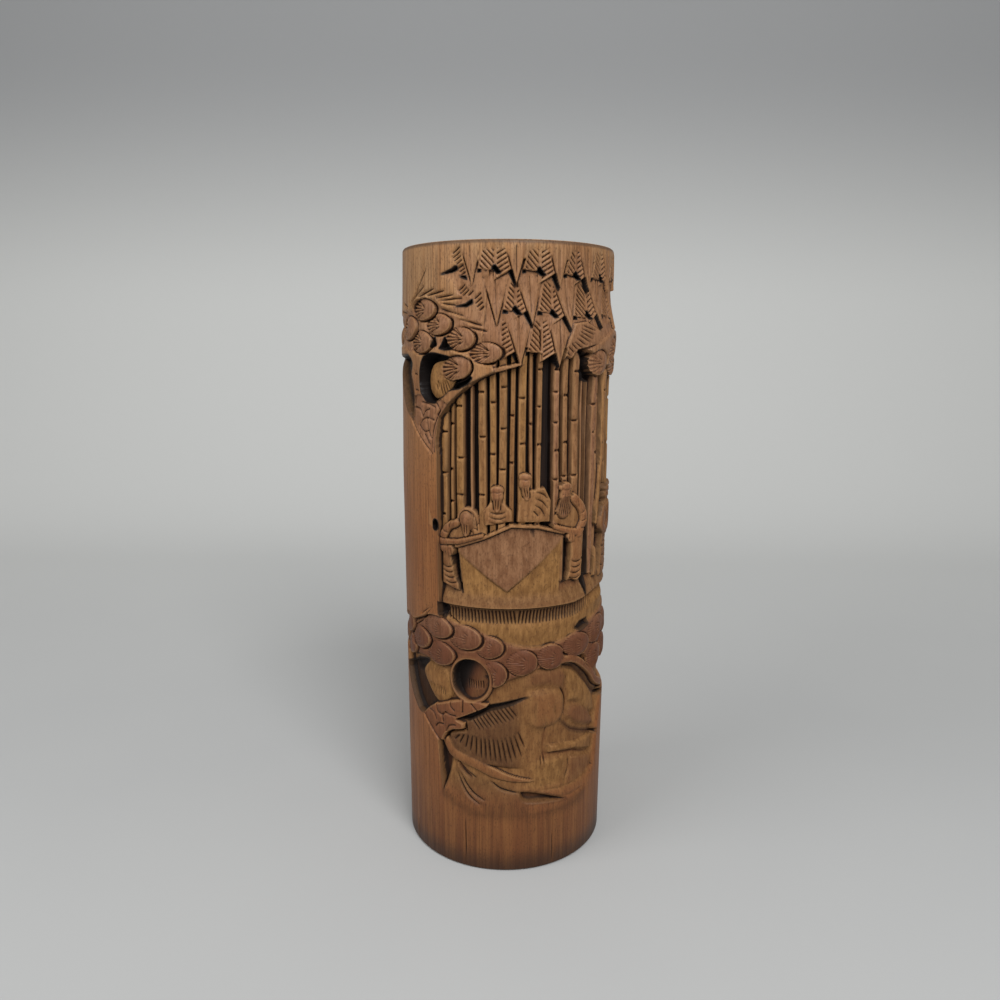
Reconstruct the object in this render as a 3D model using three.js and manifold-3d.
// Carved bamboo brush pot: one length of bamboo culm, carved in relief round its front,
// closed at the foot by a turned floor disc that sits in a rebate and is pinned from below.
// Millimetres, +Z up, origin on the culm's axis at the foot. The carved front faces -Y.
// Places on the culm are given along the skin from the front line (positive to the right)
// and up from the foot, the ledge or down from the rim.

import * as THREE from "three";
import { mergeVertices } from "three/addons/utils/BufferGeometryUtils.js";
import Module from "manifold-3d";

const wasm = await Module();
wasm.setup();

// Culm
const HEIGHT = 310;
const RIM_RADIUS = 52.6;
const BELLY_RADIUS = 54;
const BELLY_HEIGHT = 200;
const FOOT_RADIUS = 52.5;
const WALL = 11;
const RIM_ROUNDING = 1.6;
const FOOT_CHAMFER = 1.2;
const ROUND_SEGMENTS = 48;
const BLOCK_REACH = 1.3;

// Floor disc, the rebate that holds it and its pins
const FLOOR_THICKNESS = 8;
const FLOOR_RECESS = 1;
const FLOOR_DISH = 1.5;
const FLOOR_DISH_MARGIN = 8;
const FOOT_WALL = 4.7;
const FIT_GAP = 0.3;
const PIN_COUNT = 4;
const PIN_DIAMETER = 2.6;
const PIN_BITE = 12;
const PIN_SIDES = 12;

// The culm's own joint, a low swelling all round: how high it stands at distances above its middle
const NODE_DROP = 42;
const NODE_RISE = 1.8;
const NODE_PROFILE = [[-24, 0], [-5, 0.95], [3, 0.95], [20, 0]];

// How far below the culm's skin each layer of the carving lies
const CANOPY_STEP = 1;
const GROVE_DEPTH = 7.4;
const SCENE_DEPTH = 3.7;
const WINDOW_DEPTH = 8.5;
const HOLLOW_DEPTH = 4.2;
const GAP_DEPTH = 5.6;
const BOWL_DEPTH = 5.6;
const DOME_DEPTH = 3;
const LEDGE_FRONT_DEPTH = 1.6;
const LEDGE_BACK_DEPTH = 4.4;
const TABLE_TOP_DEPTH = 2.4;
const TABLE_SIDE_DEPTH = 2.7;
const BODY_DEPTH = 2.2;
const ROBE_DEPTH = 1.6;
const SLEEVE_DEPTH = 0.8;
const PINE_DEPTH = 0.5;
const PINE_GROUND_DEPTH = 1.5;
const TRUNK_DEPTH = 0.7;
const ROCK_DEPTH = 2;
const SLAB_DEPTH = 2.2;

// The carved field, and the heights that divide it
const FIELD_LEFT = -35.4;
const FIELD_RIGHT = 100;
const GROVE_TOP_DROP = 52;
const LEDGE_FRONT = 139.5;
const LEDGE_BACK = 150.5;
const SCENE_FLOOR = 57;
const SCENE_END = 33;
const LOWER_FIELD_RIGHT = 62;
const BRANCH_HEIGHT = 80;

// Bamboo sprays of the canopy, tier by tier: places of their tips along the skin and down from the rim
const SPRAY_TIERS = [
  [[-17, 20], [4, 20], [24.9, 21.4], [42.9, 22.4]],
  [[-5, 37.5], [12, 38], [32.3, 39.8], [56, 39.2]],
  [[6, 56], [25.2, 56]],
];
const SPRAY_LENGTHS = [18, 24, 22];
const SPRAY_FOOT = 6;
const SPRAY_HALF_WIDTH = 8.6;
const SPEAR_HALF_WIDTH = 2;
const CANOPY_TOP_DROP = 8;
const BROAD_LEAF = [[28, 50], [31.4, 52], [36, 48], [52, 44.4], [53, 38], [34, 35]];

// The small borer hole in the plain skin beside the grove
const BORER_HOLE = { around: -38.5, up: 178.5, diameter: 4.2, depth: 7 };

// Bamboo stems of the grove: place along the skin, width, depth of the crest
const STEMS = [
  [-32.8, 4.2, 2.6],
  [-24.6, 2.6, 3.2],
  [-21.4, 4, 2.6],
  [-15.2, 2.2, 3.6],
  [-11.6, 4.6, 2.8],
  [-7, 4, 3.2],
  [-2.2, 4.6, 2.6],
  [2.8, 3.2, 4],
  [7.8, 4.6, 2.8],
  [12.2, 2.6, 4.2],
  [16, 3.4, 3],
  [25.1, 4, 2],
  [30.7, 4, 3],
  [37.3, 5.6, 2.4],
  [46.1, 1.6, 3.4],
  [57.6, 4.2, 3.6],
  [72, 4.2, 2.6],
  [78.5, 5, 2],
  [85.5, 4, 2.6],
  [92, 5, 2],
];

// Stems that lean: from [along the skin, height] up to [along the skin, height], width, depth of the crest
const LEANING_STEMS = [
  [[49.6, 146], [52.6, 252], 5.6, 2],
  [[56, 176], [65.6, 250], 6, 1.6],
];

// Shell-shaped pine clumps: along the skin, down from the rim or up, half width, half height, tilt in degrees
const UPPER_PINE_DROPS = [
  [-10.3, 49.6, 8.2, 4.8, 0],
  [-22.9, 43.4, 8, 5.4, 0],
  [-48.6, 44.8, 9.6, 5.4, -4],
  [-34.8, 36.8, 8.5, 5, 0],
  [-62.4, 37.4, 10.6, 5.8, 4],
  [-84, 43, 9.4, 5.8, 6],
  [-46.9, 30, 9.6, 5.2, 0],
  [-25.7, 56.6, 8.8, 5.8, 6],
  [49, 54, 8.8, 5.6, 0],
  [61.6, 52.6, 7.4, 5.2, 4],
  [72, 54, 8.4, 6, 4],
];
const LOWER_PINES = [
  [-39, 126.3, 10, 5.6, -4],
  [-21.6, 123.6, 9.2, 5.9, -4],
  [-8.4, 119.8, 7.4, 5.4, 0],
  [-54, 116.9, 9.6, 5.6, 4],
  [-37.2, 112.6, 9.8, 6, 0],
  [-67, 109.4, 9, 5.2, 8],
  [-70, 120.6, 9, 5.4, 10],
  [-5.6, 106, 6.8, 6.4, 0],
  [8.4, 112, 8, 6.4, 0],
  [24.2, 113.6, 7.6, 6.4, -6],
  [41, 117, 9.6, 5.8, -4],
  [60, 120.4, 10, 6.4, 12],
  [58, 106, 7.8, 6.4, 16],
  [72, 108, 8, 6.4, 8],
  [78, 120, 9, 6.2, 0],
  [90, 112, 9, 6.4, 0],
];

// Free outlines of the upper pine: along the skin, and down from the rim
const UPPER_PINE_GROUND = [
  [-55, 28.6], [-40, 25.4], [-30, 29.6], [-18, 35.6], [-7.4, 41.4], [-8.6, 51.6], [-18, 51.2], [-30, 47.4], [-44, 49.4],
  [-58, 49.8], [-86, 47.4], [-84, 32.6], [-66, 30.6],
];
const UPPER_WINDOW = [
  [-33, 50.6], [-39, 50], [-44.5, 52], [-48.2, 57], [-48.8, 63], [-47, 69], [-43, 72.6],
  [-38, 73], [-32, 69.6], [-20, 60], [-24, 53],
];
const WINDOW_DOME = [[-37, 53.2], [-41, 57.5], [-42, 63], [-41, 68.4], [-38, 71.8], [-33, 70], [-26, 62], [-28, 54]];
const UPPER_OPENING = [[-76, 51], [-60, 50.8], [-56.5, 53], [-55.2, 55], [-56.8, 59.5], [-76, 58.4]];
const UPPER_HOLLOW = [
  [-78, 59], [-74, 66], [-70, 70.5], [-64, 77], [-56, 82.4], [-53.6, 76], [-53.4, 69], [-55, 62], [-56.4, 58],
];
const UPPER_TRUNK = [
  [-58, 81], [-44, 92.6], [-39.5, 96.6], [-36.9, 96.8], [-36.8, 89], [-34.4, 79.6], [-29.6, 73.4], [-36, 71.4],
  [-42, 73.1], [-46.6, 69.6], [-48.6, 63], [-48, 56], [-50, 50.5], [-56, 50.5], [-55, 55.5], [-56.2, 60],
  [-53, 70], [-54, 78],
];
const UPPER_BRANCHES = [
  [[-37, 73], [-31, 75], [-18, 63.2], [-8, 58.4], [2, 55], [2, 51.4], [-10, 55], [-20, 61], [-29, 67], [-34, 70.4]],
  [[-52, 50.5], [-44, 51.6], [-34, 49.4], [-22, 51], [-22, 48.8], [-34, 46.4], [-50, 48]],
  [[-54, 51], [-74, 50], [-74, 46.6], [-58, 47]],
];

// Free outlines of the lower scene: along the skin, and up from the foot
const LOWER_HOLLOW = [
  [-71, 98], [-60, 103.6], [-48, 106.4], [-34.2, 106.8], [-34.2, 84.6], [-41, 84], [-49, 76.4], [-54, 77.6],
  [-60, 82.4], [-71, 95],
];
const LOWER_PINE_GROUND = [
  [-34.4, 130.4], [-46, 130.2], [-58, 125.4], [-74, 125.2], [-88.6, 116.2], [-72, 104.6], [-60, 104.8], [-48, 107.2],
  [-34.4, 107.6],
];
const LOWER_BANK = [
  [-35.8, 130.6], [-13, 127.4], [0, 122.4], [16, 119.4], [32, 121.4], [48, 126.4], [66, 129.4], [96, 129.4], [97, 104.4],
  [60, 100.6], [46, 108.4], [30, 109.4], [14, 106.6], [-8, 100.6], [-35.8, 106.2],
];
const LOWER_SLOT = [[-37.2, 66.6], [-31.6, 60], [-31, 51], [-34.4, 37.6], [-36.2, 50]];
const BOULDER = [
  [-56, 98.4], [-52, 103.4], [-45, 106], [-35, 105], [-29.5, 100], [-28, 94], [-32, 88], [-37, 85.4], [-44, 86], [-50, 92],
];
const BOWL_FRAME = [-18.5, 101.8, 12.4, 12.8, 0];
const BOWL = [-18.5, 101.8, 10.4, 10.8, 0];
const LOWER_TRUNK = [
  [-51, 77.2], [-41, 85.2], [-30, 89.4], [-24, 91.2], [-8, 90.6], [-9, 88.6], [-26, 79.8], [-21.4, 78.6], [-21.6, 75],
  [-28.6, 73.4], [-32.8, 70.4], [-35, 65.6], [-37.6, 66], [-47, 74],
];
const NEEDLE_FAN = [
  [-33.4, 66], [-31.4, 71.4], [-21, 74.6], [-21.6, 79.4], [-8, 88.4], [8, 92], [10, 54], [-12, 55], [-31, 62],
];
const ROCKS = [
  [[6, 108], [31, 107.6], [38, 105.6], [46, 99.4], [60, 85], [64, 76], [54, 76], [44, 84.4], [33, 93], [6, 97]],
  [[8, 95], [18, 97], [27, 96.6], [32.6, 94], [35, 88.6], [34.6, 81], [31, 77], [8, 75]],
];
const FACET = [
  [33.6, 79.4], [36.6, 84.8], [41, 86], [47, 84], [56, 77.6], [62, 71], [64, 64.4], [48, 69.6], [37, 76],
];
const SLABS = [
  [[24, 67], [44, 64], [59.5, 63], [59.5, 53], [50, 56], [42, 59], [24, 61.4]],
  [[8, 59.6], [35.6, 58.4], [33, 43.4], [8, 42.6]],
  [[38.4, 57.4], [60, 50.8], [60, 43.6], [35.6, 42]],
  [[-28, 58], [6, 50], [6, 40], [-14, 38], [-24, 46]],
];
const ROCK_GAPS = [
  [[31.4, 79], [41, 71.6], [64, 63.2], [64, 60.6], [47.6, 66.4], [35.4, 73.4], [31.4, 77]],
  [[32, 108.4], [40, 106.6], [46, 102], [60, 88], [78, 81], [78, 78.6], [66, 81], [51, 93.4], [39, 104], [32, 106.6]],
];
const LOWER_BRANCH = [
  [24, 112.4], [34, 112.8], [41, 110.8], [48, 106.4], [64, 92.4], [78, 86.4], [78, 82.4], [62, 88.8], [45, 103.6],
  [39, 107.4], [24, 108.4],
];

// Figures round the table and standing beside it: along the skin, and up from the ledge's back
const HEAD_RADIUS = 4.4;
const HEADS = [[-20.4, 32], [-4.6, 44.5], [9, 50], [30, 44], [69, 43.5], [86, 43.5]];
const BODIES = [
  [[-32, 28], [-25, 32], [-13.6, 31], [-12, 25], [-25, 19], [-34, 18]],
  [[-11, 29], [-12, 36.5], [-8.4, 41.5], [-1, 41.5], [3, 37], [3.4, 31.5]],
  [[4.6, 31], [5.4, 39.5], [9, 46.5], [19.6, 48.5], [23.4, 41.5], [22.8, 30.5]],
  [[24, 31], [24.6, 39.5], [27, 44.5], [34, 44], [39, 39], [44, 31.5], [44.6, 23.5], [33, 25]],
];
const ROBES = [
  [[-34.6, 17.5], [-29, 16], [-26.6, 4], [-24, 0], [-24, -4], [-29, -2.7], [-34.8, -1]],
  [[34, 23.5], [44.4, 29.5], [43.6, 1.5], [40, -1], [31.6, -0.5], [34.2, 13.5]],
  [[62, -3], [75.6, -3], [74.4, 18], [75.8, 34], [72.4, 40], [65.8, 40], [62.4, 34], [63.8, 18]],
  [[79, -3], [92.6, -3], [91.4, 18], [92.8, 34], [89.4, 40], [82.8, 40], [79.4, 34], [80.8, 18]],
];
const SLEEVES = [
  [[-22.6, 29], [-31.4, 30.6], [-35.6, 23], [-35, 16], [-29, 13.5], [-26, 19], [-10.4, 23.4], [-12.6, 26], [-26, 22.6], [-30, 26]],
  [[34, 43], [40, 39], [46, 31], [43, 23], [36, 19.5], [32, 23], [23, 28], [24, 30.4], [36, 26.6], [39, 31]],
  [[61.6, 35.6], [59, 26.6], [65.4, 19.6], [72.6, 19.6], [79, 26.6], [76.4, 35.6], [73, 34.4], [70.6, 24.4], [67.4, 24.4], [65, 34.4]],
];
const FIGURE_GAPS = [
  [[-29, 14], [-25, 14.5], [-23, -4.5], [-25.8, 0.5]],
  [[31, 22], [34, 22.5], [33.4, 1.5], [31, -0.5]],
  [[44.8, 31.5], [48, 31.5], [48, 9.5], [47.4, -8], [43, 0.5]],
];

// Stone table between the figures: its top, and its two front faces
const TABLE_TOP = [
  [-26.6, 19], [-11, 24], [2, 30], [16, 29.5], [30.6, 25.5], [30, 19.5], [18, 10], [0.5, -2.5], [-10, 8], [-25, 16],
];
const TABLE_FRONT = [[-24.6, 18.5], [30, 20], [29.4, -6.5], [-23, -6.5]];

// Radius of the culm's skin at a height
function skinRadius(up) {
  if (up >= BELLY_HEIGHT) {
    const share = (up - BELLY_HEIGHT) / (HEIGHT - BELLY_HEIGHT);
    return BELLY_RADIUS + (RIM_RADIUS - BELLY_RADIUS) * share;
  }
  return FOOT_RADIUS + (BELLY_RADIUS - FOOT_RADIUS) * (up / BELLY_HEIGHT);
}

const shoulderHeight = FLOOR_RECESS + FLOOR_THICKNESS + FIT_GAP;
const rebateRadius = FOOT_RADIUS - FOOT_WALL;
const pinCircle = (rebateRadius + skinRadius(shoulderHeight) - WALL) / 2;
const groveTop = HEIGHT - GROVE_TOP_DROP;

// A closed geometry as a solid for joining and cutting
function solid(geometry) {
  const bare = geometry.clone();
  bare.deleteAttribute("normal");
  bare.deleteAttribute("uv");
  const merged = mergeVertices(bare, 1e-4);
  return new wasm.Manifold(
    new wasm.Mesh({
      numProp: 3,
      vertProperties: merged.attributes.position.array,
      triVerts: new Uint32Array(merged.index.array),
    }),
  );
}

// A solid back as a geometry
function geometryOf(made) {
  const { vertProperties, triVerts } = made.getMesh();
  const geometry = new THREE.BufferGeometry();
  geometry.setAttribute("position", new THREE.BufferAttribute(vertProperties, 3));
  geometry.setIndex(new THREE.BufferAttribute(triVerts, 1));
  geometry.computeVertexNormals();
  return geometry;
}

// A body turned about the culm's axis from [radius, height] points
function turned(points, segments = ROUND_SEGMENTS) {
  const profile = points.map(([radius, up]) => new THREE.Vector2(radius, up));
  const geometry = new THREE.LatheGeometry(profile, segments);
  return geometry.rotateX(Math.PI / 2);
}

// The uncarved culm as a solid log, its skin brought in by a depth
function log(depth) {
  const rim = skinRadius(HEIGHT) - depth;
  const roundStart = HEIGHT - RIM_ROUNDING;
  const joint = NODE_PROFILE.map(([above, share]) => {
    const up = HEIGHT - NODE_DROP + above;
    return [skinRadius(up) + NODE_RISE * share - depth, up];
  });
  const profile = [
    [0, 0],
    [FOOT_RADIUS - FOOT_CHAMFER - depth, 0],
    [skinRadius(FOOT_CHAMFER) - depth, FOOT_CHAMFER],
    [BELLY_RADIUS - depth, BELLY_HEIGHT],
    ...joint,
    [skinRadius(roundStart) - depth, roundStart],
    [rim - RIM_ROUNDING * (1 - Math.SQRT1_2), HEIGHT - RIM_ROUNDING * (1 - Math.SQRT1_2)],
    [rim - RIM_ROUNDING, HEIGHT],
    [0, HEIGHT],
  ];
  return solid(turned(profile));
}

// Moves a shape drawn in the tangent plane (x right, y up, z outwards) to its place on the culm
function onCulm(geometry, around, up) {
  const turn = around / BELLY_RADIUS;
  const right = new THREE.Vector3(Math.cos(turn), Math.sin(turn), 0);
  const upwards = new THREE.Vector3(0, 0, 1);
  const outwards = new THREE.Vector3(Math.sin(turn), -Math.cos(turn), 0);
  const place = new THREE.Matrix4().makeBasis(right, upwards, outwards);
  place.setPosition(0, 0, up);
  return geometry.applyMatrix4(place);
}

// A block that runs straight out from the culm's axis, from well inside the log to past its skin.
// Its outline is drawn in places along the skin and heights.
function block(shape, curveSegments = 6) {
  const start = (BELLY_RADIUS - WALL) / 2;
  const depth = BELLY_RADIUS * BLOCK_REACH - start;
  const geometry = new THREE.ExtrudeGeometry(shape, { depth, bevelEnabled: false, curveSegments });
  const place = geometry.attributes.position;
  for (let i = 0; i < place.count; i += 1) {
    const turn = place.getX(i) / BELLY_RADIUS;
    const radius = start + place.getZ(i);
    place.setXYZ(i, radius * Math.sin(turn), -radius * Math.cos(turn), place.getY(i));
  }
  return solid(geometry);
}

const outline = (points) => new THREE.Shape(points.map(([x, y]) => new THREE.Vector2(x, y)));
const patch = (points) => block(outline(points));

function oval(around, up, halfWidth, halfHeight, tilt, segments = 5) {
  const shape = new THREE.Shape();
  const turn = THREE.MathUtils.degToRad(tilt);
  shape.absellipse(around, up, halfWidth, halfHeight, 0, Math.PI * 2, false, turn);
  return block(shape, segments);
}

const hanging = (points) => patch(points.map(([around, drop]) => [around, HEIGHT - drop]));
const onLedge = (points) => patch(points.map(([around, lift]) => [around, LEDGE_BACK + lift]));

// A wedge of the log between two places along the skin and two heights
function sector(left, right, bottom, top) {
  const reach = BELLY_RADIUS * 1.2;
  const steps = Math.ceil(((right - left) / BELLY_RADIUS / Math.PI) * (ROUND_SEGMENTS / 2));
  const shape = new THREE.Shape().moveTo(0, 0);
  for (let i = 0; i <= steps; i += 1) {
    const turn = (left + ((right - left) * i) / steps) / BELLY_RADIUS;
    shape.lineTo(Math.sin(turn) * reach, -Math.cos(turn) * reach);
  }
  const geometry = new THREE.ExtrudeGeometry(shape, { depth: top - bottom, bevelEnabled: false });
  return solid(geometry.translate(0, 0, bottom));
}

const together = (solids) => wasm.Manifold.union(solids);

// Cuts shapes into the culm down to a depth, or leaves them standing up to a depth
const cut = (culm, solids, depth) => culm.subtract(together(solids).subtract(log(depth)));
const raise = (culm, solids, depth) => culm.add(together(solids).intersect(log(depth)));

// Leaf canopy: tiers like shingles, each hanging over a deeper one. A spray is a long spear
// between two leaves that end short of its tip.
function spray([around, drop], length) {
  return hanging([
    [around - SPRAY_HALF_WIDTH, drop - length],
    [around - SPRAY_HALF_WIDTH, drop - SPRAY_FOOT],
    [around - SPEAR_HALF_WIDTH, drop - SPRAY_FOOT],
    [around, drop],
    [around + SPEAR_HALF_WIDTH, drop - SPRAY_FOOT],
    [around + SPRAY_HALF_WIDTH, drop - SPRAY_FOOT],
    [around + SPRAY_HALF_WIDTH, drop - length],
  ]);
}

function carveCanopy(culm) {
  let carved = culm;
  SPRAY_TIERS.slice(0, -1).forEach((tips, tier) => {
    const left = tips[0][0];
    const right = Math.max(...tips.map(([around]) => around)) + SPRAY_HALF_WIDTH;
    const top = HEIGHT - (tier === 0 ? CANOPY_TOP_DROP : SPRAY_TIERS[tier - 1][0][1] - SPRAY_FOOT);
    carved = cut(carved, [sector(left, right, groveTop - 1, top)], (tier + 1) * CANOPY_STEP);
  });
  SPRAY_TIERS.forEach((tips, tier) => {
    const sprays = tips.map((tip) => spray(tip, SPRAY_LENGTHS[tier]));
    carved = raise(carved, sprays, tier * CANOPY_STEP * 0.8);
  });
  return raise(carved, [hanging(BROAD_LEAF)], CANOPY_STEP);
}

// Bamboo grove: rounded stems standing in the deepest recess between the ledge and the canopy.
// Each is an upright bar with a rounded front that runs back into the log.
function stemSection(width, depth) {
  const half = width / 2;
  const crest = BELLY_RADIUS - depth;
  return outline([
    [-half, -BELLY_RADIUS / 2],
    [half, -BELLY_RADIUS / 2],
    [half, half - crest],
    [half / 2, half / 6 - crest],
    [-half / 2, half / 6 - crest],
    [-half, half - crest],
  ]);
}

function stem([around, width, depth]) {
  const bar = new THREE.ExtrudeGeometry(stemSection(width, depth), {
    depth: groveTop - LEDGE_FRONT,
    bevelEnabled: false,
  });
  return solid(bar.translate(0, 0, LEDGE_FRONT).rotateZ(around / BELLY_RADIUS));
}

function leaningStem([[footAround, foot], [topAround, top], width, depth]) {
  const length = top - foot;
  const bar = new THREE.ExtrudeGeometry(stemSection(width, depth), { depth: length, bevelEnabled: false });
  const shear = new THREE.Matrix4().makeShear(0, 0, 0, 0, (topAround - footAround) / length, 0);
  return solid(bar.applyMatrix4(shear).translate(0, 0, foot).rotateZ(footAround / BELLY_RADIUS));
}

function carveGrove(culm) {
  const recess = sector(FIELD_LEFT, FIELD_RIGHT, LEDGE_FRONT, groveTop);
  const stems = [...STEMS.map(stem), ...LEANING_STEMS.map(leaningStem)];
  return raise(cut(culm, [recess], GROVE_DEPTH), stems, 0);
}

// Pines: clumps like shells round branches, with deep windows between them
const clumps = (list) => list.map((clump) => oval(...clump, 4));
const fromRim = (list) => list.map(([around, drop, ...rest]) => [around, HEIGHT - drop, ...rest]);

function carveUpperPine(culm) {
  let carved = cut(culm, [hanging(UPPER_PINE_GROUND)], PINE_GROUND_DEPTH);
  carved = cut(carved, [hanging(UPPER_HOLLOW)], HOLLOW_DEPTH);
  carved = cut(carved, [hanging(UPPER_WINDOW), hanging(UPPER_OPENING)], WINDOW_DEPTH);
  carved = raise(carved, [hanging(WINDOW_DOME)], DOME_DEPTH);
  carved = raise(carved, [UPPER_TRUNK, ...UPPER_BRANCHES].map(hanging), TRUNK_DEPTH);
  return raise(carved, clumps(fromRim(UPPER_PINE_DROPS)), PINE_DEPTH);
}

// Figures round the stone table, standing on the ledge
function head([around, lift]) {
  const geometry = new THREE.SphereGeometry(HEAD_RADIUS, 7, 5);
  geometry.translate(0, 0, BELLY_RADIUS - HEAD_RADIUS - SLEEVE_DEPTH);
  return solid(onCulm(geometry, around, LEDGE_BACK + lift));
}

// What a head leans back on, so that no gap stays closed behind it
const headBack = ([around, lift]) => oval(around, LEDGE_BACK + lift, HEAD_RADIUS * 1.1, HEAD_RADIUS * 1.1, 0);

function carveFigures(culm) {
  let carved = cut(culm, FIGURE_GAPS.map(onLedge), GAP_DEPTH);
  carved = raise(carved, [...BODIES.map(onLedge), ...HEADS.map(headBack)], BODY_DEPTH);
  carved = raise(carved, ROBES.map(onLedge), ROBE_DEPTH);
  carved = raise(carved, SLEEVES.map(onLedge), SLEEVE_DEPTH);
  return carved.add(together(HEADS.map(head)));
}

function carveTable(culm) {
  const withFront = raise(culm, [onLedge(TABLE_FRONT)], TABLE_SIDE_DEPTH);
  return raise(withFront, [onLedge(TABLE_TOP)], TABLE_TOP_DEPTH);
}

// Lower scene: a recess below the ledge with pine clumps, a leaning trunk, rocks and paving slabs.
// Its floor rises to the skin again towards the foot.
function sceneFloor() {
  const profile = [
    [0, 0],
    [FOOT_RADIUS, 0],
    [skinRadius(SCENE_END), SCENE_END],
    [skinRadius(SCENE_FLOOR) - SCENE_DEPTH, SCENE_FLOOR],
    [skinRadius(LEDGE_FRONT) - SCENE_DEPTH, LEDGE_FRONT],
    [0, LEDGE_FRONT],
  ];
  return solid(turned(profile));
}

function carveLowerScene(culm) {
  const recess = together([
    sector(FIELD_LEFT, LOWER_FIELD_RIGHT, SCENE_END, LEDGE_FRONT),
    sector(LOWER_FIELD_RIGHT - 1, FIELD_RIGHT, BRANCH_HEIGHT, LEDGE_FRONT),
  ]);
  let carved = culm.subtract(recess.subtract(sceneFloor()));
  carved = cut(carved, [patch(LOWER_PINE_GROUND)], PINE_GROUND_DEPTH);
  carved = cut(carved, [patch(LOWER_HOLLOW)], HOLLOW_DEPTH);
  carved = cut(carved, [patch(LOWER_SLOT)], GAP_DEPTH);
  carved = raise(carved, [patch(LOWER_BANK)], PINE_GROUND_DEPTH);
  carved = raise(carved, SLABS.map(patch), SLAB_DEPTH);
  carved = raise(carved, [BOULDER, NEEDLE_FAN, ...ROCKS].map(patch), ROCK_DEPTH);
  carved = cut(carved, ROCK_GAPS.map(patch), GAP_DEPTH);
  carved = raise(carved, [oval(...BOWL_FRAME), patch(FACET)], TRUNK_DEPTH * 2);
  carved = cut(carved, [oval(...BOWL)], BOWL_DEPTH);
  return raise(carved, [...clumps(LOWER_PINES), patch(LOWER_TRUNK), patch(LOWER_BRANCH)], PINE_DEPTH);
}

// The ground that the table stands on: a ledge that slopes back into the grove
function carveLedge(culm) {
  const profile = [
    [0, LEDGE_FRONT],
    [skinRadius(LEDGE_FRONT) - LEDGE_FRONT_DEPTH, LEDGE_FRONT],
    [skinRadius(LEDGE_BACK) - LEDGE_BACK_DEPTH, LEDGE_BACK],
    [0, LEDGE_BACK],
  ];
  const field = sector(FIELD_LEFT - 1, FIELD_RIGHT + 1, LEDGE_FRONT - 1, LEDGE_BACK + 1);
  return culm.add(solid(turned(profile)).intersect(field));
}

function borerHole() {
  const { around, up, diameter, depth } = BORER_HOLE;
  const geometry = new THREE.CylinderGeometry(diameter / 2, diameter / 2, depth * 2, 10);
  geometry.rotateX(Math.PI / 2).translate(0, 0, skinRadius(up));
  return solid(onCulm(geometry, around, up));
}

// Pins stand on a circle in the rebate's shoulder
function pinPlaces() {
  return Array.from({ length: PIN_COUNT }, (_, i) => {
    const turn = ((i + 0.5) / PIN_COUNT) * Math.PI * 2;
    return [Math.cos(turn) * pinCircle, Math.sin(turn) * pinCircle];
  });
}

function upright(diameter, bottom, top, x, y) {
  const geometry = new THREE.CylinderGeometry(diameter / 2, diameter / 2, top - bottom, PIN_SIDES);
  return geometry.rotateX(Math.PI / 2).translate(x, y, (bottom + top) / 2);
}

const pinTop = shoulderHeight + PIN_BITE;
const pinHoles = () =>
  pinPlaces().map(([x, y]) =>
    solid(upright(PIN_DIAMETER + 2 * FIT_GAP, FLOOR_RECESS - 1, pinTop + FIT_GAP, x, y)),
  );

// The hollow of the culm: its bore, and the wider rebate for the floor disc at the foot
function hollow() {
  const profile = [
    [0, -1],
    [rebateRadius, -1],
    [rebateRadius, shoulderHeight],
    [skinRadius(shoulderHeight) - WALL, shoulderHeight],
    [BELLY_RADIUS - WALL, BELLY_HEIGHT],
    [RIM_RADIUS - WALL, HEIGHT - RIM_ROUNDING],
    [RIM_RADIUS - WALL + RIM_ROUNDING, HEIGHT],
    [RIM_RADIUS - WALL + RIM_ROUNDING, HEIGHT + 1],
    [0, HEIGHT + 1],
  ];
  return solid(turned(profile));
}

function makeCulm() {
  const steps = [
    carveGrove,
    carveCanopy,
    carveUpperPine,
    carveLowerScene,
    carveLedge,
    carveTable,
    carveFigures,
  ];
  const carved = steps.reduce((culm, step) => step(culm), log(0));
  return carved.subtract(together([hollow(), borerHole(), ...pinHoles()]));
}

function makeFloorDisc() {
  const radius = rebateRadius - FIT_GAP;
  const top = FLOOR_RECESS + FLOOR_THICKNESS;
  const dishRadius = skinRadius(shoulderHeight) - WALL - FLOOR_DISH_MARGIN;
  const profile = [
    [0, FLOOR_RECESS],
    [radius, FLOOR_RECESS],
    [radius, top],
    [dishRadius, top],
    [dishRadius - FLOOR_DISH, top - FLOOR_DISH],
    [0, top - FLOOR_DISH],
  ];
  return solid(turned(profile)).subtract(together(pinHoles()));
}

const bambooSkin = new THREE.MeshStandardMaterial({ color: 0x8f6446, roughness: 0.62, metalness: 0 });
const floorWood = new THREE.MeshStandardMaterial({ color: 0x7a5639, roughness: 0.75, metalness: 0 });
const pinBamboo = new THREE.MeshStandardMaterial({ color: 0xa98757, roughness: 0.7, metalness: 0 });

function named(geometry, material, name) {
  const mesh = new THREE.Mesh(geometry, material);
  mesh.name = name;
  return mesh;
}

const brushPot = new THREE.Group();
brushPot.name = "brush_pot";
brushPot.add(named(geometryOf(makeCulm()), bambooSkin, "carved_culm"));

const floor = new THREE.Group();
floor.add(named(geometryOf(makeFloorDisc()), floorWood, "floor_disc"));
pinPlaces().forEach(([x, y], i) => {
  const pin = upright(PIN_DIAMETER, FLOOR_RECESS, pinTop, 0, 0);
  const mesh = named(pin, pinBamboo, `floor_pin_${i + 1}`);
  mesh.position.set(x, y, 0);
  floor.add(mesh);
});
brushPot.add(floor);

export default brushPot;
